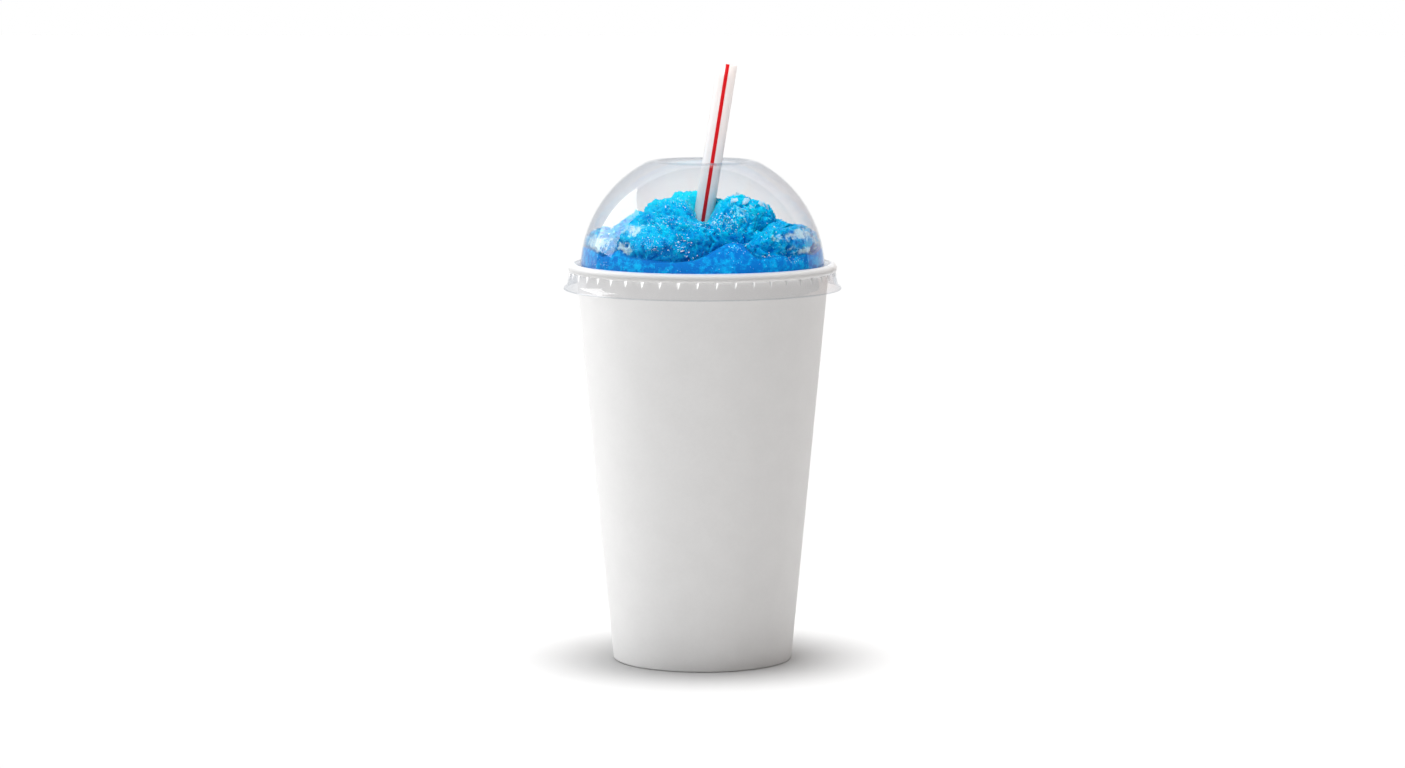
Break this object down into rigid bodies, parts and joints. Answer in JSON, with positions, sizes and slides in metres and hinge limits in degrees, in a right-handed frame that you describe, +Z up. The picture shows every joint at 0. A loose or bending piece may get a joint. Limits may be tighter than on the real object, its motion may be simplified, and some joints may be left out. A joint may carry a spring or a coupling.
{
  "type": "frozen slush drink",
  "caption": "Blue frozen slush heaped in a plain white paper cup under a clear dome lid, with a striped drinking straw leaning through the open top of the lid.",
  "frame": {"origin": "centre of the ring that the cup stands on, at table height", "axes": "+Z up along the cup's axis, -Y the front, +X to the right seen from the front"},
  "size_m": [0.0944, 0.0944, 0.2033],
  "materials": {
    "cup_paper": "smooth matt white paper board with a thin coating",
    "lid_clear": "clear glossy thermoformed sheet",
    "slush_blue": "wet granular ice, bright blue, frosty where it is aerated",
    "straw_plastic": "thin translucent white tube with a red stripe"
  },
  "bodies": {
    "root": {"cup_wall": "cup_paper", "cup_floor": "cup_paper", "dome_lid": "lid_clear", "slush": "slush_blue", "straw": "straw_plastic"}
  },
  "joints": []
}
